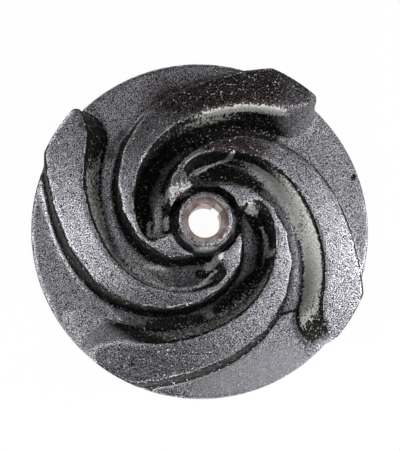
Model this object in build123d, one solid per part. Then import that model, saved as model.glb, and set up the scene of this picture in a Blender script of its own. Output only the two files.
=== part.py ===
from build123d import *
from math import cos, hypot, radians, sin, tan
import os

# Semi-open pump impeller, one casting: back disc, four thick spiral vanes, hub with keyed bore.
# Millimetres. The back of the disc is at z = 0, the shaft axis is Z, the vanes face +Z.

# ---- Disc ---------------------------------------------------------------------------
disc_radius = 107.5
rim_thickness = 7.0
floor_step_radius = 76.0
floor_step_height = 1.5
floor_hub_radius = 26.0
floor_rise = 12.0
floor_flat_reach = 24.0
floor_curve_reach = 14.0
floor_curve_share = 0.82

# ---- Hub ----------------------------------------------------------------------------
hub_height = 50.5
hub_top_radius = 17.4
hub_root_radius = 19.6
ring_groove_width = 2.1
groove_height = 4.0
hub_edge_chamfer = 1.0

# ---- Bore ---------------------------------------------------------------------------
counterbore_radius = 14.0
counterbore_depth = 8.5
bore_radius = 10.0
bore_length = 16.0
key_width = 6.0
key_depth = 2.8
key_angle = 47.0
bore_chamfer = 0.6
relief_top_radius = 12.6
relief_back_radius = 16.0

# ---- Back ---------------------------------------------------------------------------
back_land_width = 11.0
back_boss_radius = 27.0
back_boss_draft = 2.0
back_flat_width = 4.0
back_recess_depth = 10.0

# ---- Vanes --------------------------------------------------------------------------
vane_count = 4
tip_height = 34.7
face_slope = tan(radians(9.0))
vane_ring_radius = hub_root_radius + ring_groove_width
vane_root_depth = 3.0
# Edges of the front face: share of the way from ring groove to rim, angle and wall draft in degrees.
convex_edge = [
    (-0.027, 81.0, 3.0), (0.060, 57.5, 3.0), (0.135, 39.5, 3.0), (0.223, 17.5, 3.0),
    (0.311, -2.0, 3.0), (0.399, -19.0, 3.0), (0.499, -37.0, 4.0), (0.624, -59.5, 5.0),
    (0.749, -84.0, 6.0), (0.875, -101.5, 5.0), (1.000, -113.5, 4.0), (1.063, -118.5, 4.0),
]
concave_edge = [
    (0.104, 21.5, 2.0), (0.146, 21.0, 3.0), (0.179, 16.5, 4.0), (0.207, 8.0, 4.0),
    (0.231, -2.0, 3.0), (0.260, -14.0, 1.5), (0.298, -26.0, 2.0), (0.386, -50.0, 7.0),
    (0.461, -71.0, 10.0), (0.561, -93.0, 14.0), (0.681, -111.5, 17.0), (0.774, -125.0, 19.0),
    (0.831, -130.0, 20.0), (0.881, -132.3, 16.0), (0.937, -133.2, 8.0), (0.981, -132.2, 5.0),
    (1.004, -129.5, 5.0), (1.044, -126.0, 5.0),
]
end_corner = (-0.027, 18.0)
end_middle = (-0.078, 48.0)

# ---- Stock before turning, larger all round than the finished part -------------------
turning_allowance = 3.5
vane_foot = rim_thickness - vane_root_depth
stock_top = hub_height + turning_allowance
stock_radius = disc_radius + turning_allowance
tool_radius = stock_radius + 4 * turning_allowance
seam_angle = 50.0


def polar(share, angle):
    """Point in the plan, from the share of the way from ring groove to rim and an angle."""
    reach = vane_ring_radius + (disc_radius - vane_ring_radius) * share
    return (reach * cos(radians(angle)), reach * sin(radians(angle)))


def face_height(reach):
    """Height of the vanes' front cone at a radius."""
    return tip_height + face_slope * (disc_radius - reach)


def wall_line(stations, side, level):
    """Line of a drafted wall at one level; side is 1 for the concave wall, -1 for the convex."""
    places = [polar(station[0], station[1]) for station in stations]
    points = []
    for index, (x, y) in enumerate(places):
        before = places[max(index - 1, 0)]
        after = places[min(index + 1, len(places) - 1)]
        span = hypot(after[0] - before[0], after[1] - before[1])
        shift = side * tan(radians(stations[index][2])) * (face_height(hypot(x, y)) - level) / span
        points.append((x + (after[1] - before[1]) * shift, y - (after[0] - before[0]) * shift, level))
    return Spline(*points)


def vane_section(level):
    """Closed outline of a vane at one level."""
    convex = wall_line(convex_edge, -1, level)
    concave = wall_line(concave_edge, 1, level)
    middle = (*polar(*end_middle), level)
    corner = (*polar(*end_corner), level)
    ring = [convex, Line(convex @ 1, concave @ 1), concave]
    ring += [Line(concave @ 0, corner), Line(corner, middle), Line(middle, convex @ 0)]
    return Face(Wire([piece.edge() for piece in ring]))


def turned(*corners):
    """Ring or disc swept round the shaft axis from a closed profile."""
    profile = Plane.XZ * make_face(Polyline(*corners, close=True))
    return Rot(0, 0, seam_angle) * revolve(profile, Axis.Z)


# ---- Disc, hub and vanes before turning ---------------------------------------------
inner_floor = rim_thickness + floor_step_height
groove_floor = inner_floor + floor_rise + groove_height
hub_stock_radius = (hub_root_radius + vane_ring_radius) / 2
floor_start = (floor_step_radius - floor_step_height, inner_floor)
floor_end = (floor_hub_radius, inner_floor + floor_rise)
floor_middle = (floor_step_radius - floor_flat_reach, inner_floor)
floor_lift = (floor_hub_radius + floor_curve_reach, inner_floor + floor_rise * floor_curve_share)
half_section = [
    Line((0, 0), (stock_radius, 0)),
    Line((stock_radius, 0), (stock_radius, rim_thickness)),
    Line((stock_radius, rim_thickness), (floor_step_radius, rim_thickness)),
    Line((floor_step_radius, rim_thickness), floor_start),
    Bezier(floor_start, floor_middle, floor_lift, floor_end),
    Line(floor_end, (hub_stock_radius, groove_floor)),
    Line((hub_stock_radius, groove_floor), (hub_stock_radius, stock_top)),
    Line((hub_stock_radius, stock_top), (0, stock_top)),
    Line((0, stock_top), (0, 0)),
]
disc_face = Plane.XZ * make_face([piece.edge() for piece in half_section])
impeller = Rot(0, 0, seam_angle) * revolve(disc_face, Axis.Z)
vane = loft([vane_section(vane_foot), vane_section(stock_top)], ruled=True)
for turn in range(vane_count):
    impeller += Rot(0, 0, 360 / vane_count * turn) * vane

# ---- Turned outline: rim, vane faces, ring groove, hub ------------------------------
impeller -= turned(
    (disc_radius, -vane_foot),
    (disc_radius, tip_height),
    (vane_ring_radius, face_height(vane_ring_radius)),
    (vane_ring_radius, groove_floor),
    (hub_root_radius, groove_floor),
    (hub_top_radius, hub_height - hub_edge_chamfer),
    (hub_top_radius - hub_edge_chamfer, hub_height),
    (0, hub_height),
    (0, stock_top + vane_foot),
    (tool_radius, stock_top + vane_foot),
    (tool_radius, -vane_foot),
)

# ---- Back recess, bore and key ------------------------------------------------------
impeller -= turned(
    (disc_radius - back_land_width, 0),
    (back_boss_radius + back_boss_draft + back_flat_width, back_recess_depth),
    (back_boss_radius + back_boss_draft, back_recess_depth),
    (back_boss_radius, 0),
)
bore_top = hub_height - counterbore_depth
bore_bottom = bore_top - bore_length
impeller -= turned(
    (0, hub_height),
    (counterbore_radius, hub_height),
    (counterbore_radius, bore_top),
    (bore_radius + bore_chamfer, bore_top),
    (bore_radius, bore_top - bore_chamfer),
    (bore_radius, bore_bottom),
    (relief_top_radius, bore_bottom),
    (relief_back_radius, 0),
    (0, 0),
)
key_reach = bore_radius + key_depth
key_slot = Pos(key_reach / 2, 0, (bore_top + bore_bottom) / 2) * Box(key_reach, key_width, bore_length)
impeller -= Rot(0, 0, key_angle) * key_slot

os.makedirs("parts", exist_ok=True)
export_step(impeller, "parts/impeller.step")
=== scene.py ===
import bmesh
import bpy
import numpy as np
from bpy.props import FloatProperty, FloatVectorProperty, IntProperty, PointerProperty
from mathutils import Matrix, Vector, noise


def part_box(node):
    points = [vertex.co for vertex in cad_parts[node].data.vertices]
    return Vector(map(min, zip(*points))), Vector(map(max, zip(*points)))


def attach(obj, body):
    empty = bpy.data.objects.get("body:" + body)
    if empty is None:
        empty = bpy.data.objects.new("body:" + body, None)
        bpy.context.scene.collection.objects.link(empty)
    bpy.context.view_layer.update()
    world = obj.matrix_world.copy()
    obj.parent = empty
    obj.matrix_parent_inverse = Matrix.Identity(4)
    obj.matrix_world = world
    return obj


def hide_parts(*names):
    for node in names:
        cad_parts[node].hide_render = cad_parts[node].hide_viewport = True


bl_info = {
    "name": "Pump impeller",
    "version": (1, 0, 0),
    "blender": (4, 5, 0),
    "location": "3D View > Sidebar > Impeller",
    "description": "Dresses a sand-cast pump impeller: cast skin, machined hub, studio",
    "category": "Object",
}

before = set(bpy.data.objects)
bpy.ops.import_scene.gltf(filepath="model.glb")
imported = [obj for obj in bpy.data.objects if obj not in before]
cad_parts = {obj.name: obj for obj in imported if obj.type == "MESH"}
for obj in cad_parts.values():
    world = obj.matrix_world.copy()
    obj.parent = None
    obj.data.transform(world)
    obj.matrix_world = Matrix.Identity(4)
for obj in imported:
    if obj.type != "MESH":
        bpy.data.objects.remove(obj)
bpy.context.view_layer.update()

MM = 0.001
NODE = "impeller"
BODY = "root"

# ---- Sizes, in metres. The shaft axis is Z and the vanes face +Z ------------------------
LOW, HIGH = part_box(NODE)
HUB_TOP = HIGH.z
DISC_RADIUS = HIGH.x
RIM_HEIGHT = 7.5 * MM
RIM_BAND = 0.6 * MM

# The hub's machining, as the solid has it.
COUNTERBORE_RADIUS = 14.0 * MM
COUNTERBORE_FLOOR = HUB_TOP - 8.5 * MM
BORE_RADIUS = 10.0 * MM
BORE_CHAMFER = 0.6 * MM
BORE_BACK = COUNTERBORE_FLOOR - 16.0 * MM
RELIEF_TOP_RADIUS = 12.6 * MM
RELIEF_BACK_RADIUS = 16.0 * MM
KEY_WIDTH = 6.0 * MM
KEY_DEPTH = 2.8 * MM
KEY_ANGLE = np.radians(47.0)
PLUG_RADIUS = 16.2 * MM
OVERCUT = 2.0 * MM
KEY_OVERCUT = 0.1 * MM
BACK_OVERCUT = 0.01 * MM
CUT_SEGMENTS = 144
WELD = 0.002 * MM
SHARP_ANGLE = np.radians(38)

# Rounding of the skin: the bend that moves at full pace, the pace and how far the root marks spread.
FULL_BEND = 0.03 * MM
ROUND_PACE = 0.5
SPREAD_ROUNDS = 3
FULL_ROOT = 1.0 * MM

# Unevenness of the mould: length of its waves, their shares of the depth and what turning leaves of it.
BROAD_WAVE = 14 * MM
CLOSE_WAVE = 4.5 * MM
BROAD_SHARE = 0.35
CLOSE_SHARE = 0.3
TURNED_SHARE = 0.15
BACK_SKIM = 0.5 * MM
RIM_CLEARANCE = 0.02 * MM
LEAST_FACES = 1000

# ---- Where the marks of casting and blasting lie, and where light and shade are painted ---
# Hollow walls of the vanes: radius and angle of the upper edge, in mm and degrees, on vane 0.
HOLLOW_EDGE = np.array(
    (
        (30.0, 21.5),
        (37.0, 16.0),
        (41.5, -2.0),
        (47.3, -26.0),
        (54.8, -50.0),
        (61.3, -71.0),
        (69.9, -93.0),
        (80.1, -111.5),
        (88.2, -125.0),
        (93.0, -130.0),
        (102.0, -133.0),
        (107.5, -129.0),
    )
)
HOLLOW_WIDTH = 27 * MM
PAINTED_LIGHT_LIP = 1.2 * MM
BLASTED_LIP = -3 * MM
VANES = 4
VANE_PITCH = 360 / VANES
FACE_TIP_HEIGHT = 34.7 * MM
FACE_SLOPE = np.tan(np.radians(9.0))
FLOOR_HEIGHT = 8.0 * MM

# How far a wall patch fades at its edge line, along the radius and over the height share.
LINE_BLUR = 1.5 * MM
REACH_BLUR = 6 * MM
SHARE_BLUR = 0.1
STREAK_CORE = 1.6

# Painted light on the hollow walls where a softbox lights them: vane, radius from and to in mm, height
# share from and to, level.
PAINTED_LIT_WALLS = (
    (1, 51, 60, 0.12, 0.45, 1.0),
    (1, 57, 64, 0.13, 0.81, 0.72),
    (1, 66, 80, 0.13, 0.81, 1.0),
    (1, 78, 86, 0.13, 0.81, 0.72),
    (2, 69, 85, 0.74, 0.92, 1.0),
    (2, 63, 69, 0.45, 0.75, 0.5),
    (3, 61, 76, 0.12, 0.8, 0.56),
    (3, 44, 60, 0.15, 0.8, 0.42),
    (0, 52, 72, 0.15, 0.8, 0.42),
)
# Painted pools of light and painted edge highlights elsewhere: x and y of both ends, width, all in mm,
# level.
PAINTED_LIGHT_STREAKS = (
    (28.0, 10.5, 33.0, 8.5, 2.6, 0.8),
    (9.0, -21.5, 3.5, -26.0, 3.2, 1.0),
    (-33.4, 1.5, -33.4, -6.5, 1.7, 0.95),
    (-33.4, -6.5, -24.0, -7.4, 1.8, 0.9),
    (-23.0, 4.0, -23.0, -2.0, 2.2, 0.9),
    (-4.7, 32.4, 6.2, 39.3, 1.1, 0.9),
    (6.2, 39.3, 17.9, 42.6, 1.1, 0.9),
    (-2.7, -38.1, 8.9, -27.8, 1.3, 0.95),
    (37.6, -1.3, 40.4, -8.0, 1.4, 0.8),
    (40.4, -8.0, 41.7, -18.6, 1.4, 0.8),
    (-36.0, -25.0, -24.0, -27.0, 1.8, 0.75),
    (-24.0, 16.0, -12.0, 20.0, 6.0, 0.52),
)
# Ends of the hollow walls that were blasted like the floor, laid out as the painted lit walls are.
BLASTED_WALLS = (
    (0, 88, 110, -0.2, 1.0, 1.0),
    (1, 106, 110, -0.2, 1.0, 1.0),
    (2, 86, 110, -0.2, 1.0, 1.0),
)
# Side of the hub that was blasted too, laid out as the painted light streaks are.
BLASTED_STREAKS = (
    (18.8, 4.0, 17.2, -9.0, 2.2, 0.9),
    (17.2, -9.0, 8.0, -17.5, 2.2, 0.9),
    (8.0, -17.5, -6.0, -18.2, 2.0, 0.7),
    (-6.0, -18.2, -17.0, -9.0, 1.8, 0.6),
)
# Rust, painted shade on the top vane's side, painted shadows and places blasted finer, laid out as the
# painted light streaks are.
RUST_STREAKS = (
    (-18.5, 28.5, -18.0, 25.0, 3.0, 0.5),
    (-16.5, 15.5, -14.0, 16.5, 2.6, 0.5),
)
# Painted shade on the top vane's side, darkening and warming the blasted grains.
TOP_SHADE_STREAKS = (
    (-18.0, 80.0, 38.0, 84.0, 26.0, 1.0),
    (38.0, 84.0, 62.0, 82.0, 18.0, 0.6),
    (-5.0, 52.0, 30.0, 44.0, 13.0, 1.0),
    (-46.0, 52.0, -30.0, 68.0, 16.0, 0.45),
)
# Painted shadows: the grains turn to the near-black skin in shaded channels and along small steps.
PAINTED_SHADOW_STREAKS = (
    (-39.0, 17.0, -36.0, 1.0, 8.0, 0.95),
    (-31.0, 33.0, -38.0, 20.0, 7.0, 0.8),
    (-28.0, 42.0, -14.0, 55.6, 9.0, 0.85),
    (-14.0, 56.0, 20.0, 62.0, 9.0, 0.9),
    (20.0, 62.0, 45.0, 60.0, 8.0, 0.65),
    (1.7, 32.5, 14.0, 32.0, 6.0, 1.0),
    (7.5, 38.0, 35.0, 26.0, 8.0, 0.62),
    (30.0, 7.2, 37.0, -5.0, 5.0, 0.9),
    (37.0, -5.0, 36.0, -24.0, 4.0, 0.6),
    (-2.0, -30.0, 6.0, -31.0, 4.0, 0.85),
    (36.0, -30.0, 11.5, -52.0, 8.0, 0.66),
    (-1.0, -59.0, -32.0, -62.0, 8.0, 0.62),
    (-32.0, -62.0, -46.0, -60.0, 7.0, 0.45),
    (-49.0, 60.0, -57.0, 46.5, 6.0, 0.4),
    (98.7, 35.0, 98.2, 33.5, 1.8, 1.2),
    (49.4, -55.0, 53.0, -53.6, 0.9, 1.6),
    (53.0, -53.6, 60.0, -51.5, 0.9, 1.6),
)
FINE_STREAKS = (
    (10.0, -101.0, 52.0, -88.0, 22.0, 0.8),
)

# ---- Light and camera ---------------------------------------------------------------
# Softboxes: name, tilt from straight above and compass angle in degrees, power in W.
SOFTBOXES = (
    ("front_low", 74, 270, 7.8),
    ("back_left", 60, 135, 1.2),
    ("right", 46, 0, 1.84),
    ("right_low", 68, 0, 1.6),
    ("back_low", 74, 90, 1.34),
    ("left_high", 32, 180, 1.0),
    ("left", 46, 180, 0.9),
    ("right_top", 14, 0, 0.45),
    ("front_right", 32, 315, 0.36),
    ("back_right", 32, 45, 0.14),
    ("back_top", 14, 90, 0.12),
)
SOFTBOX_DISTANCE = 0.8
SOFTBOX_SIZE = 0.35
FLOOR_HALF_SIZE = 20.0
FLOOR_GAP = 0.2 * MM
CARD_GLOW = 0.97
SENSOR_WIDTH = 36.0
AIM = Vector((0, 0, 0.007))
AIM_RIGHT = -0.000724
AIM_UP = 0.002255

# ---- Grain of the materials -----------------------------------------------------------
# Sand grains are 0.3 to 0.5 mm; they are drawn 0.5 to 0.8 mm across, as coarse as they need to show.
GRAIN_SIZE = 0.8 * MM
SPECK_SIZE = 0.5 * MM
RAGGED_SIZE = 1.4 * MM
DRIFT_SIZE = 14 * MM
# On the steep walls the marks run longer up and down, as the sand left them.
WALL_STRETCH = (1.0, 1.0, 0.6)
# The tool leaves a ring every 0.2 mm; they are drawn every 0.8 mm, as coarse as they need to show.
RING_PITCH = 0.8 * MM
# The wave texture's rings lie this far apart at a scale of 1.
WAVE_SCALE = 0.314
RING_DEPTH = 0.03 * MM
STAIN_SIZE = 5 * MM

# Start and end of each fade. Speck noise from hollow to tip, and from clean skin to a stray bright speck.
TIPS = (0.475, 0.6)
STRAYS = (0.69, 0.78)
# Upward share of the normal, from the steep walls, which take the near-black skin as painted shade, to the
# open faces.
FLAT = (0.82, 0.95)
# Root mark from open face to corner, and the share of grains left there: the corners darken to the skin as
# painted shade.
ROOT = (0.25, 0.75)
ROOT_GRAIN_LEFT = 0.1
# Specks and painted shadow together, from blasted grains to the near-black skin.
SKIN_AND_SHADOW_FADE = (1.52, 1.62)
SPECK_WEIGHT = 2.0
# Ragged noise and painted light mark together, from skin to painted light.
PAINTED_LIGHT_FADE = (2.46, 2.54)
RAGGED_WEIGHT = 4.0
STAIN = (0.4, 0.65)
FINE_TIPS = 0.42
WALL_DULLNESS = 0.65
# Iron is a metal, so its IOR stays at the default. Blasted and turned iron have a roughness of 0.3 to 0.5.
SKIN_ROUGHNESS = 0.6
GRAIN_ROUGHNESS = 0.3
TURNED_ROUGHNESS = 0.4
SKIN_SPECULAR = 0.1

# Sockets of the Mix node: its share, two numbers and two colours, then its number and colour outputs.
SHARE, NUMBER_A, NUMBER_B, COLOUR_A, COLOUR_B = 0, 2, 3, 6, 7
NUMBER_OUT, COLOUR_OUT = 0, 2


# ---- Small helpers ------------------------------------------------------------------
def linear(hex_colour):
    """Linear RGBA from an sRGB hex colour."""
    channels = [int(hex_colour[i : i + 2], 16) / 255 for i in (1, 3, 5)]
    return (*[c / 12.92 if c <= 0.04045 else ((c + 0.055) / 1.055) ** 2.4 for c in channels], 1.0)


def add(tree, kind, inputs=None, **settings):
    """Adds a node, with its settings, and sets or links the inputs."""
    made = tree.nodes.new(kind)
    for name, value in settings.items():
        setattr(made, name, value)
    for name, value in (inputs or {}).items():
        if isinstance(value, bpy.types.NodeSocket):
            tree.links.new(value, made.inputs[name])
        else:
            made.inputs[name].default_value = value
    return made


def new_object(name, data):
    """Links a new object that holds the mesh, the lamp or the camera."""
    made = bpy.data.objects.new(name, data)
    bpy.context.scene.collection.objects.link(made)
    return made


def mesh_from(shape, name):
    """Turns a bmesh into a mesh and frees it."""
    mesh = bpy.data.meshes.new(name)
    shape.to_mesh(mesh)
    shape.free()
    return mesh


def applied(obj, kind, **settings):
    """Puts one modifier on the object and keeps its result as the mesh."""
    modifier = obj.modifiers.new(kind.lower(), kind)
    for name, value in settings.items():
        setattr(modifier, name, value)
    graph = bpy.context.evaluated_depsgraph_get()
    result = bpy.data.meshes.new_from_object(obj.evaluated_get(graph))
    obj.modifiers.clear()
    obj.data = result


def points_of(mesh):
    """Vertex positions as an array."""
    flat = np.empty(len(mesh.vertices) * 3, np.float32)
    mesh.vertices.foreach_get("co", flat)
    return flat.reshape(-1, 3).astype(float)


def normals_of(mesh):
    """Vertex normals as an array."""
    flat = np.empty(len(mesh.vertices) * 3, np.float32)
    mesh.vertex_normals.foreach_get("vector", flat)
    return flat.reshape(-1, 3).astype(float)


def move_points(mesh, places):
    """Puts the vertices at new positions."""
    mesh.vertices.foreach_set("co", places.astype(np.float32).ravel())
    mesh.update()


def radius_of(places):
    """Distance of each place from the shaft axis."""
    return np.hypot(places[:, 0], places[:, 1])


def store(mesh, name, values):
    """Keeps one number per vertex for the materials."""
    attribute = mesh.attributes.new(name, "FLOAT", "POINT")
    attribute.data.foreach_set("value", values.astype(np.float32))


# ---- Cast skin ------------------------------------------------------------------------
def blank_mesh():
    """The solid's mesh, welded, with the bore filled as it is before machining."""
    shape = bmesh.new()
    shape.from_mesh(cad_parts[NODE].data)
    bmesh.ops.remove_doubles(shape, verts=shape.verts, dist=WELD)
    bmesh.ops.create_cone(
        shape,
        cap_ends=True,
        segments=CUT_SEGMENTS,
        radius1=PLUG_RADIUS,
        radius2=PLUG_RADIUS,
        depth=HUB_TOP,
        matrix=Matrix.Translation((0, 0, HUB_TOP / 2)),
    )
    return mesh_from(shape, "blank")


def neighbour_mean(values, pairs, counts):
    """Mean of each vertex's neighbours."""
    total = np.zeros_like(values)
    for axis in range(values.shape[1]):
        total[:, axis] = np.bincount(pairs[:, 0], values[pairs[:, 1], axis], len(values))
        total[:, axis] += np.bincount(pairs[:, 1], values[pairs[:, 0], axis], len(values))
    return total / counts


def round_corners(mesh, rounds, sign):
    """Fills the hollow corners (sign 1) or wears down the outer edges (sign -1), and nothing else."""
    flat = np.empty(len(mesh.edges) * 2, np.int32)
    mesh.edges.foreach_get("vertices", flat)
    pairs = flat.reshape(-1, 2)
    counts = np.bincount(flat, minlength=len(mesh.vertices))[:, None]
    places = points_of(mesh)
    moved = np.zeros(len(places))
    for _ in range(rounds):
        step = neighbour_mean(places, pairs, counts) - places
        bend = (step * normals_of(mesh)).sum(1) * sign
        pace = np.clip(bend / FULL_BEND, 0, 1) * ROUND_PACE
        places += step * pace[:, None]
        moved += np.linalg.norm(step, axis=1) * pace
        move_points(mesh, places)
    spread = moved[:, None]
    for _ in range(SPREAD_ROUNDS):
        spread = neighbour_mean(spread, pairs, counts)
    return spread[:, 0]


def cast_waviness(place):
    """Height of the sand mould's unevenness at a place, from 0 to 1."""
    broad = noise.fractal(place / BROAD_WAVE, 0.6, 2.1, 2)
    close = noise.fractal(place / CLOSE_WAVE + Vector((7, 3, 1)), 0.7, 2.1, 2)
    return min(max(0.5 + BROAD_SHARE * broad + CLOSE_SHARE * close, 0.0), 1.0)


def roughen(mesh, depth):
    """Sinks the skin by the mould's unevenness, so that it stays inside the solid."""
    places = points_of(mesh)
    sink = np.array([cast_waviness(Vector(place)) for place in places]) * depth
    turned = (radius_of(places) > DISC_RADIUS - RIM_BAND) | (places[:, 2] < BACK_SKIM)
    sink[turned] *= TURNED_SHARE
    places -= normals_of(mesh) * sink[:, None]
    trim = np.minimum(1.0, (DISC_RADIUS - RIM_CLEARANCE) / np.maximum(radius_of(places), 1e-9))
    places[:, :2] *= trim[:, None]
    places[:, 2] = np.clip(places[:, 2], LOW.z, HIGH.z)
    move_points(mesh, places)


# ---- Marks on the skin ----------------------------------------------------------------
def share_between(values, low, high, blur):
    """1 between the limits, falling to 0 over the blur outside them."""
    rise = np.clip((values - low) / blur + 1, 0, 1)
    fall = np.clip((high - values) / blur + 1, 0, 1)
    return rise * fall


def wall_places(mesh):
    """For each vertex: radius, vane number, height share and way past that vane's hollow edge."""
    places = points_of(mesh)
    reach = radius_of(places)
    angle = np.degrees(np.arctan2(places[:, 1], places[:, 0]))
    turn = (angle - np.interp(reach, HOLLOW_EDGE[:, 0] * MM, HOLLOW_EDGE[:, 1])) / VANE_PITCH
    vane = np.round(turn).astype(int) % VANES
    gap = (turn - np.round(turn)) * np.radians(VANE_PITCH) * reach
    front = FACE_TIP_HEIGHT + FACE_SLOPE * (DISC_RADIUS - reach)
    share = (places[:, 2] - FLOOR_HEIGHT) / (front - FLOOR_HEIGHT)
    return reach, vane, share, gap


def wall_strength(mesh, patches, lip):
    """How strongly each vertex lies in one of the listed wall patches, which end at the lip."""
    reach, vane, share, gap = wall_places(mesh)
    near = share_between(gap, -HOLLOW_WIDTH, -lip, LINE_BLUR)
    strength = np.zeros(len(reach))
    for number, start, end, low, high, level in patches:
        along = share_between(reach, start * MM, end * MM, REACH_BLUR)
        upward = share_between(share, low, high, SHARE_BLUR)
        strength = np.maximum(strength, along * upward * near * (vane == number) * level)
    return strength


def streak_strength(mesh, streaks):
    """How strongly each vertex lies in one of the listed streaks."""
    places = points_of(mesh)[:, :2] / MM
    strength = np.zeros(len(places))
    for x1, y1, x2, y2, width, level in streaks:
        start = np.array([x1, y1])
        run = np.array([x2, y2]) - start
        along = np.clip((places - start) @ run / (run @ run), 0, 1)
        gap = np.linalg.norm(places - start - along[:, None] * run, axis=1)
        strength = np.maximum(strength, np.clip(STREAK_CORE * (1 - gap / width), 0, 1) * level)
    return strength


def rim_strength(mesh):
    """1 on the disc's edge and underside, which were skimmed and blasted, and 0 elsewhere."""
    places = points_of(mesh)
    edge = (radius_of(places) > DISC_RADIUS - RIM_BAND) & (places[:, 2] < RIM_HEIGHT)
    underside = normals_of(mesh)[:, 2] < -0.5
    return (edge | underside).astype(float)


def store_marks(mesh, root_fill):
    """Keeps on the skin where each mark of casting and blasting lies, and where light and shade are
    painted.
    """
    # The root mark darkens the corners to the near-black skin: painted shade.
    store(mesh, "root", np.clip(root_fill / FULL_ROOT, 0, 1))
    painted_lit_walls = wall_strength(mesh, PAINTED_LIT_WALLS, PAINTED_LIGHT_LIP)
    store(mesh, "painted_light", np.maximum(painted_lit_walls, streak_strength(mesh, PAINTED_LIGHT_STREAKS)))
    blasted_walls = np.maximum(wall_strength(mesh, BLASTED_WALLS, BLASTED_LIP), rim_strength(mesh))
    store(mesh, "blasted", np.maximum(blasted_walls, streak_strength(mesh, BLASTED_STREAKS)))
    store(mesh, "rust", streak_strength(mesh, RUST_STREAKS))
    store(mesh, "top_shade", streak_strength(mesh, TOP_SHADE_STREAKS))
    store(mesh, "painted_shadow", streak_strength(mesh, PAINTED_SHADOW_STREAKS))
    store(mesh, "fine", streak_strength(mesh, FINE_STREAKS))


# ---- Machining ------------------------------------------------------------------------
def turned_cutter(corners):
    """Closed body of revolution from (radius, height) corners on or beside the axis."""
    shape = bmesh.new()
    ring = [shape.verts.new((radius, 0, height)) for radius, height in corners]
    outline = [shape.edges.new((a, b)) for a, b in zip(ring, ring[1:])]
    bmesh.ops.spin(
        shape,
        geom=ring + outline,
        cent=(0, 0, 0),
        axis=(0, 0, 1),
        angle=2 * np.pi,
        steps=CUT_SEGMENTS,
        use_merge=True,
    )
    bmesh.ops.remove_doubles(shape, verts=shape.verts, dist=WELD)
    bmesh.ops.recalc_face_normals(shape, faces=shape.faces)
    return mesh_from(shape, "cutter")


def bore_cutter():
    """Drill and tools that leave the counterbore, the chamfered bore and the relief behind it."""
    return turned_cutter(
        (
            (0, HUB_TOP + OVERCUT),
            (COUNTERBORE_RADIUS, HUB_TOP + OVERCUT),
            (COUNTERBORE_RADIUS, COUNTERBORE_FLOOR),
            (BORE_RADIUS + BORE_CHAMFER, COUNTERBORE_FLOOR),
            (BORE_RADIUS, COUNTERBORE_FLOOR - BORE_CHAMFER),
            (BORE_RADIUS, BORE_BACK),
            (RELIEF_TOP_RADIUS, BORE_BACK),
            (RELIEF_BACK_RADIUS, -BACK_OVERCUT),
            (0, -BACK_OVERCUT),
        )
    )


def key_cutter():
    """Block that broaches the key slot."""
    shape = bmesh.new()
    reach = BORE_RADIUS + KEY_DEPTH
    height = COUNTERBORE_FLOOR - BORE_BACK + KEY_OVERCUT
    middle = Matrix.Translation((reach / 2, 0, BORE_BACK + height / 2))
    size = Matrix.Diagonal((reach, KEY_WIDTH, height, 1))
    bmesh.ops.create_cube(shape, size=1, matrix=Matrix.Rotation(KEY_ANGLE, 4, "Z") @ middle @ size)
    return mesh_from(shape, "cutter")


def cut(casting, cutter_mesh, material):
    """Machines the cutter's shape out of the casting and leaves the material on the cut faces."""
    cutter_mesh.materials.append(material)
    cutter = new_object("cutter", cutter_mesh)
    applied(
        casting, "BOOLEAN", operation="DIFFERENCE", object=cutter, solver="EXACT", material_mode="TRANSFER"
    )
    bpy.data.objects.remove(cutter)


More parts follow.
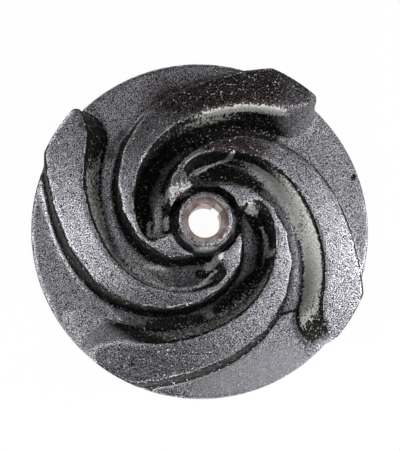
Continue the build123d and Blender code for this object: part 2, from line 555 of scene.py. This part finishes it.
# ---- Materials ------------------------------------------------------------------------
def shot_blasted_iron(props):
    """Shot-blasted grey cast iron: bright grains on the open faces, near-black skin as painted shade and
    pale painted light on lit walls.
    """
    # Sand-cast and then shot-blasted: the peened tips of the grains glint like dull silver, with dark
    # hollows between them.
    # The steep walls, the corners and the shadows are painted a matte, nearly black skin as painted shade.
    material = bpy.data.materials.new("shot_blasted_grey_cast_iron")
    material.use_nodes = True
    tree = material.node_tree
    shader = tree.nodes["Principled BSDF"]
    place = add(tree, "ShaderNodeTexCoord").outputs["Object"]
    drawn = add(tree, "ShaderNodeVectorMath", {0: place, 1: WALL_STRETCH}, operation="MULTIPLY").outputs[0]
    grain, speck, ragged, drift = (
        add(
            tree,
            "ShaderNodeTexNoise",
            {"Vector": where, "Scale": 1 / size, "Detail": detail, "Roughness": roughness},
        ).outputs["Fac"]
        for where, size, detail, roughness in (
            (place, GRAIN_SIZE, 2.0, 0.5),
            (drawn, SPECK_SIZE, 1.0, 0.5),
            (drawn, RAGGED_SIZE, 4.0, 0.75),
            (place, DRIFT_SIZE, 2.0, 0.5),
        )
    )
    marks = {
        name: add(tree, "ShaderNodeAttribute", attribute_name=name).outputs["Fac"]
        for name in ("root", "painted_light", "blasted", "rust", "top_shade", "painted_shadow", "fine")
    }

    # Blasted faces: peened, bright tips of the grains with dark hollows between them.
    tips = add(tree, "ShaderNodeMapRange", {"Value": speck, "From Min": TIPS[0], "From Max": TIPS[1]})
    even = add(
        tree,
        "ShaderNodeMix",
        {SHARE: marks["fine"], NUMBER_A: tips.outputs["Result"], NUMBER_B: FINE_TIPS},
        data_type="FLOAT",
    ).outputs[NUMBER_OUT]
    face = add(
        tree,
        "ShaderNodeMix",
        {SHARE: even, COLOUR_A: (*props.dark_grain, 1.0), COLOUR_B: (*props.bright_grain, 1.0)},
        data_type="RGBA",
    )
    # Painted shade: the grains on the top vane and beside it are darkened and warmed.
    top_shaded = add(
        tree,
        "ShaderNodeMix",
        {SHARE: marks["top_shade"], COLOUR_A: face.outputs[COLOUR_OUT], COLOUR_B: (*props.top_shade, 1.0)},
        data_type="RGBA",
        blend_type="MULTIPLY",
    )
    rusted = add(
        tree,
        "ShaderNodeMix",
        {SHARE: marks["rust"], COLOUR_A: top_shaded.outputs[COLOUR_OUT], COLOUR_B: (*props.rust, 1.0)},
        data_type="RGBA",
    )

    # Painted shade: a dull, near-black skin with a few stray specks, on walls, corners and channels that
    # lie in shade.
    shade_and_skin = add(
        tree,
        "ShaderNodeMix",
        {SHARE: drift, COLOUR_A: (*props.shade_and_skin_black, 1.0), COLOUR_B: (*props.shade_and_skin_brown, 1.0)},
        data_type="RGBA",
    )
    stray = add(tree, "ShaderNodeMapRange", {"Value": speck, "From Min": STRAYS[0], "From Max": STRAYS[1]})
    specked = add(
        tree,
        "ShaderNodeMix",
        {
            SHARE: stray.outputs["Result"],
            COLOUR_A: shade_and_skin.outputs[COLOUR_OUT],
            COLOUR_B: (*props.stray_speck, 1.0),
        },
        data_type="RGBA",
    )

    # The open flat faces keep the blasted grains; steep walls, corners and painted shadows take the skin as
    # painted shade.
    normal = add(tree, "ShaderNodeNewGeometry").outputs["Normal"]
    upward = add(tree, "ShaderNodeSeparateXYZ", {"Vector": normal}).outputs["Z"]
    flat = add(tree, "ShaderNodeMapRange", {"Value": upward, "From Min": FLAT[0], "From Max": FLAT[1]})
    # In the corners the grains give way to the near-black skin as painted shade.
    clear = add(
        tree,
        "ShaderNodeMapRange",
        {
            "Value": marks["root"],
            "From Min": ROOT[0],
            "From Max": ROOT[1],
            "To Min": 1.0,
            "To Max": ROOT_GRAIN_LEFT,
        },
    )
    speck_and_shadow = add(
        tree, "ShaderNodeMath", {0: speck, 1: SPECK_WEIGHT, 2: marks["painted_shadow"]}, operation="MULTIPLY_ADD"
    )
    shot = add(
        tree,
        "ShaderNodeMapRange",
        {
            "Value": speck_and_shadow.outputs["Value"],
            "From Min": SKIN_AND_SHADOW_FADE[0],
            "From Max": SKIN_AND_SHADOW_FADE[1],
            "To Min": 1.0,
            "To Max": 0.0,
        },
    )
    hit = add(
        tree,
        "ShaderNodeMath",
        {0: flat.outputs["Result"], 1: shot.outputs["Result"]},
        operation="MULTIPLY",
    )
    open_face = add(
        tree, "ShaderNodeMath", {0: hit.outputs["Value"], 1: clear.outputs["Result"]}, operation="MULTIPLY"
    )
    cover = add(
        tree, "ShaderNodeMath", {0: open_face.outputs["Value"], 1: marks["blasted"]}, operation="MAXIMUM"
    ).outputs["Value"]
    skin = add(
        tree,
        "ShaderNodeMix",
        {SHARE: cover, COLOUR_A: specked.outputs[COLOUR_OUT], COLOUR_B: rusted.outputs[COLOUR_OUT]},
        data_type="RGBA",
    )

    # Painted light: pale, dull patches with ragged edges where the walls face a softbox, and painted pools
    # of light and edge highlights.
    ragged_light = add(
        tree, "ShaderNodeMath", {0: ragged, 1: RAGGED_WEIGHT, 2: marks["painted_light"]}, operation="MULTIPLY_ADD"
    )
    painted_light = add(
        tree,
        "ShaderNodeMapRange",
        {"Value": ragged_light.outputs["Value"], "From Min": PAINTED_LIGHT_FADE[0], "From Max": PAINTED_LIGHT_FADE[1]},
    ).outputs["Result"]
    mottled = add(
        tree,
        "ShaderNodeMix",
        {SHARE: even, COLOUR_A: (*props.painted_light_dark, 1.0), COLOUR_B: (*props.painted_light_bright, 1.0)},
        data_type="RGBA",
    )
    colour = add(
        tree,
        "ShaderNodeMix",
        {SHARE: painted_light, COLOUR_A: skin.outputs[COLOUR_OUT], COLOUR_B: mottled.outputs[COLOUR_OUT]},
        data_type="RGBA",
    )
    tree.links.new(colour.outputs[COLOUR_OUT], shader.inputs["Base Color"])

    # Only the blasted grains shine as metal; the painted shade skin and the painted light patches are dull.
    dull = add(tree, "ShaderNodeMath", {0: 1.0, 1: painted_light}, operation="SUBTRACT")
    worn = add(
        tree, "ShaderNodeMath", {0: marks["blasted"], 1: -WALL_DULLNESS, 2: cover}, operation="MULTIPLY_ADD"
    )
    metal = add(
        tree, "ShaderNodeMath", {0: worn.outputs["Value"], 1: dull.outputs["Value"]}, operation="MULTIPLY"
    ).outputs["Value"]
    rough = add(
        tree, "ShaderNodeMapRange", {"Value": metal, "To Min": SKIN_ROUGHNESS, "To Max": GRAIN_ROUGHNESS}
    )
    bump = add(tree, "ShaderNodeBump", {"Height": grain, "Strength": 1.0, "Distance": props.grain_depth})
    tree.links.new(metal, shader.inputs["Metallic"])
    tree.links.new(rough.outputs["Result"], shader.inputs["Roughness"])
    tree.links.new(bump.outputs["Normal"], shader.inputs["Normal"])
    shader.inputs["Specular IOR Level"].default_value = SKIN_SPECULAR
    return material


def turned_iron(props):
    """Grey cast iron turned in the lathe: a satin shine, fine rings and a warm oxide film from handling."""
    # Cut in the lathe: the tool's rings spread each highlight to a satin sheen, and handling has dulled the
    # bare metal to a warm grey.
    material = bpy.data.materials.new("turned_grey_cast_iron")
    material.use_nodes = True
    tree = material.node_tree
    shader = tree.nodes["Principled BSDF"]
    place = add(tree, "ShaderNodeTexCoord").outputs["Object"]
    rings = add(
        tree,
        "ShaderNodeTexWave",
        {"Vector": place, "Scale": WAVE_SCALE / RING_PITCH, "Distortion": 0.6},
        wave_type="RINGS",
        rings_direction="Z",
    )
    stain = add(tree, "ShaderNodeTexNoise", {"Vector": place, "Scale": 1 / STAIN_SIZE, "Detail": 3.0})
    tone = add(
        tree,
        "ShaderNodeMapRange",
        {"Value": stain.outputs["Fac"], "From Min": STAIN[0], "From Max": STAIN[1]},
    )
    colour = add(
        tree,
        "ShaderNodeMix",
        {
            SHARE: tone.outputs["Result"],
            COLOUR_A: (*props.turned_bright, 1.0),
            COLOUR_B: (*props.turned_tarnish, 1.0),
        },
        data_type="RGBA",
    )
    bump = add(
        tree, "ShaderNodeBump", {"Height": rings.outputs["Fac"], "Strength": 1.0, "Distance": RING_DEPTH}
    )
    tree.links.new(colour.outputs[COLOUR_OUT], shader.inputs["Base Color"])
    tree.links.new(bump.outputs["Normal"], shader.inputs["Normal"])
    shader.inputs["Metallic"].default_value = 1.0
    shader.inputs["Roughness"].default_value = TURNED_ROUGHNESS
    return material


def white_card():
    """Matte white card: plain white to the eye and in reflections, with the object's faint shadow on it."""
    # Painted card has no gloss and no pattern, so it is one even white.
    material = bpy.data.materials.new("white_card")
    material.use_nodes = True
    tree = material.node_tree
    tree.nodes.clear()
    path = add(tree, "ShaderNodeLightPath").outputs
    direct = add(
        tree, "ShaderNodeMath", {0: path["Is Camera Ray"], 1: path["Is Glossy Ray"]}, operation="MAXIMUM"
    )
    looked_at = add(
        tree,
        "ShaderNodeMath",
        {0: direct.outputs["Value"], 1: path["Is Transmission Ray"]},
        operation="MAXIMUM",
    )
    # The share that stays matte card takes the object's shadow.
    share = add(tree, "ShaderNodeMath", {0: looked_at.outputs["Value"], 1: CARD_GLOW}, operation="MULTIPLY")
    card = add(tree, "ShaderNodeBsdfDiffuse", {"Color": linear("#f2f2f2")})
    glow = add(tree, "ShaderNodeEmission", {"Color": linear("#ffffff"), "Strength": 1.0})
    seen = add(
        tree,
        "ShaderNodeMixShader",
        {0: share.outputs["Value"], 1: card.outputs["BSDF"], 2: glow.outputs["Emission"]},
    )
    add(tree, "ShaderNodeOutputMaterial", {"Surface": seen.outputs["Shader"]})
    return material


# ---- What a user would change -----------------------------------------------------------
def colour_property(name, description, hex_colour):
    """Colour that the panel shows, with its default from a hex value."""
    return FloatVectorProperty(
        name=name, description=description, subtype="COLOR", default=linear(hex_colour)[:3]
    )


class ImpellerCasting(bpy.types.PropertyGroup):
    """Sizes and colours of the cast skin, of its painted light and shade, and of the machined hub."""

    grid: FloatProperty(
        name="Grid",
        description="Size of the skin's mesh",
        default=1.32 * MM,
        min=0.5 * MM,
        precision=5,
        unit="LENGTH",
    )
    root_rounds: IntProperty(
        name="Root rounding", description="Rounds of filling in the corners", default=9, min=0
    )
    edge_rounds: IntProperty(
        name="Edge rounding", description="Rounds of wear on the outer edges", default=2, min=0
    )
    waviness: FloatProperty(
        name="Waviness",
        description="Depth of the mould's unevenness",
        default=0.22 * MM,
        precision=5,
        unit="LENGTH",
    )
    grain_depth: FloatProperty(
        name="Grain depth",
        description="Height of the sand grains",
        default=0.12 * MM,
        precision=5,
        unit="LENGTH",
    )
    dark_grain: colour_property("Dark grain", "Hollows between the grains", "#2c2a2d")
    bright_grain: colour_property("Bright grain", "Blasted tips of the grains", "#e0dee6")
    # Painted shade that darkens and warms the grains on the top vane's side.
    top_shade: colour_property("Tarnish", "Warm film that darkens the blasted grains", "#877a76")
    rust: colour_property("Rust", "Rust beside the hub", "#96684f")
    # Near-black skin: painted shade on the steep walls, corners and shadows, and random dark specks.
    shade_and_skin_black: colour_property("Black skin", "Sand skin at its darkest", "#050506")
    shade_and_skin_brown: colour_property("Brown skin", "Sand skin at its lightest", "#1a1a17")
    stray_speck: colour_property("Stray speck", "Specks that the shot hit in the skin", "#4a4946")
    # Painted light on the lit walls and in the light pools, from its hollows to its tips.
    painted_light_dark: colour_property("Bare, dark", "Hollows of the bare patches", "#b4b4b0")
    painted_light_bright: colour_property("Bare, bright", "Tips of the bare patches", "#fbfbf8")
    turned_bright: colour_property("Turned", "Clean turned iron", "#c2b5b1")
    turned_tarnish: colour_property("Turned, tarnished", "Tarnished turned iron", "#8a7a74")


class ImpellerStudio(bpy.types.PropertyGroup):
    """Camera and light."""

    distance: FloatProperty(
        name="Distance", description="Camera to the disc's middle", default=0.7967, unit="LENGTH"
    )
    azimuth: FloatProperty(
        name="Azimuth", description="Camera's side", default=np.radians(-26.45), subtype="ANGLE"
    )
    elevation: FloatProperty(
        name="Elevation", description="Camera's height", default=np.radians(81.64), subtype="ANGLE"
    )
    lens: FloatProperty(name="Lens", description="Focal length", default=100.3, unit="CAMERA")
    light: FloatProperty(
        name="Light", description="Share of the softboxes' full power", default=1.0, min=0.0
    )


# ---- Operators --------------------------------------------------------------------------
class OBJECT_OT_impeller_casting(bpy.types.Operator):
    """Builds the cast skin over the solid and machines the hub"""

    bl_idname = "object.impeller_casting"
    bl_label = "Impeller casting"

    def execute(self, context):
        props = context.scene.impeller_casting
        casting = new_object("impeller_casting", blank_mesh())
        applied(casting, "REMESH", mode="VOXEL", voxel_size=props.grid)
        casting.data.name = "impeller_casting"
        root_fill = round_corners(casting.data, props.root_rounds, 1)
        round_corners(casting.data, props.edge_rounds, -1)
        roughen(casting.data, props.waviness)
        store_marks(casting.data, root_fill)
        casting.data.materials.append(shot_blasted_iron(props))
        machined = turned_iron(props)
        cut(casting, bore_cutter(), machined)
        cut(casting, key_cutter(), machined)
        casting.data.shade_smooth()
        casting.data.set_sharp_from_angle(angle=SHARP_ANGLE)
        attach(casting, BODY)
        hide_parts(NODE)
        if len(casting.data.polygons) < LEAST_FACES:
            raise RuntimeError("the casting came out empty")
        return {"FINISHED"}


class OBJECT_OT_impeller_studio(bpy.types.Operator):
    """Sets up the floor, the softboxes, the world and the camera"""

    bl_idname = "object.impeller_studio"
    bl_label = "Impeller studio"

    def execute(self, context):
        props = context.scene.impeller_studio
        self.floor()
        for name, tilt, compass, power in SOFTBOXES:
            self.softbox(name, np.radians(tilt), np.radians(compass), power * props.light)
        context.scene.world = self.room()
        context.scene.camera = self.camera(props)
        context.scene.view_settings.view_transform = "Standard"
        return {"FINISHED"}

    def floor(self):
        """Plain white card that the impeller lies on."""
        shape = bmesh.new()
        bmesh.ops.create_grid(shape, x_segments=1, y_segments=1, size=FLOOR_HALF_SIZE)
        floor = new_object("floor", mesh_from(shape, "floor"))
        floor.location.z = -FLOOR_GAP
        floor.data.materials.append(white_card())

    def softbox(self, name, tilt, compass, power):
        """Square area light at a tilt from straight above, aimed at the hub."""
        data = bpy.data.lights.new(name, "AREA")
        data.size = SOFTBOX_SIZE
        data.energy = power
        lamp = new_object(name, data)
        place = Vector((np.sin(tilt) * np.cos(compass), np.sin(tilt) * np.sin(compass), np.cos(tilt)))
        lamp.location = place * SOFTBOX_DISTANCE
        lamp.rotation_euler = place.to_track_quat("Z", "Y").to_euler()

    def room(self):
        """Dim grey room round the softboxes."""
        world = bpy.data.worlds.new("studio")
        world.use_nodes = True
        tree = world.node_tree
        tree.nodes.clear()
        grey = add(tree, "ShaderNodeBackground", {"Color": linear("#303034"), "Strength": 1.0})
        add(tree, "ShaderNodeOutputWorld", {"Surface": grey.outputs["Background"]})
        return world

    def camera(self, props):
        """Camera above the vanes, with the Y axis up in its picture."""
        back = Vector(
            (
                np.sin(props.azimuth) * np.cos(props.elevation),
                -np.cos(props.azimuth) * np.cos(props.elevation),
                np.sin(props.elevation),
            )
        )
        right = Vector((0, 1, 0)).cross(back).normalized()
        up = back.cross(right)
        data = bpy.data.cameras.new("camera")
        data.lens = props.lens
        data.sensor_width = SENSOR_WIDTH
        camera = new_object("camera", data)
        spot = AIM + back * props.distance + right * AIM_RIGHT + up * AIM_UP
        turn = Matrix((right, up, back)).transposed().to_4x4()
        camera.matrix_world = Matrix.Translation(spot) @ turn
        return camera


class VIEW3D_PT_impeller(bpy.types.Panel):
    """Lists the impeller's operators, sizes and colours"""

    bl_label = "Pump impeller"
    bl_space_type = "VIEW_3D"
    bl_region_type = "UI"
    bl_category = "Impeller"

    def draw(self, context):
        for operator in OPERATORS:
            self.layout.operator(operator.bl_idname)
        for group in (context.scene.impeller_casting, context.scene.impeller_studio):
            for name in group.__annotations__:
                self.layout.prop(group, name)


OPERATORS = (OBJECT_OT_impeller_casting, OBJECT_OT_impeller_studio)
CLASSES = (ImpellerCasting, ImpellerStudio, *OPERATORS, VIEW3D_PT_impeller)


def register():
    """Adds the classes and the scene's properties."""
    for item in CLASSES:
        bpy.utils.register_class(item)
    bpy.types.Scene.impeller_casting = PointerProperty(type=ImpellerCasting)
    bpy.types.Scene.impeller_studio = PointerProperty(type=ImpellerStudio)


def unregister():
    """Takes them away again."""
    del bpy.types.Scene.impeller_studio
    del bpy.types.Scene.impeller_casting
    for item in reversed(CLASSES):
        bpy.utils.unregister_class(item)


def main():
    """Builds the dressed impeller."""
    register()
    bpy.ops.object.impeller_casting()
    bpy.ops.object.impeller_studio()


if __name__ == "__main__":
    main()
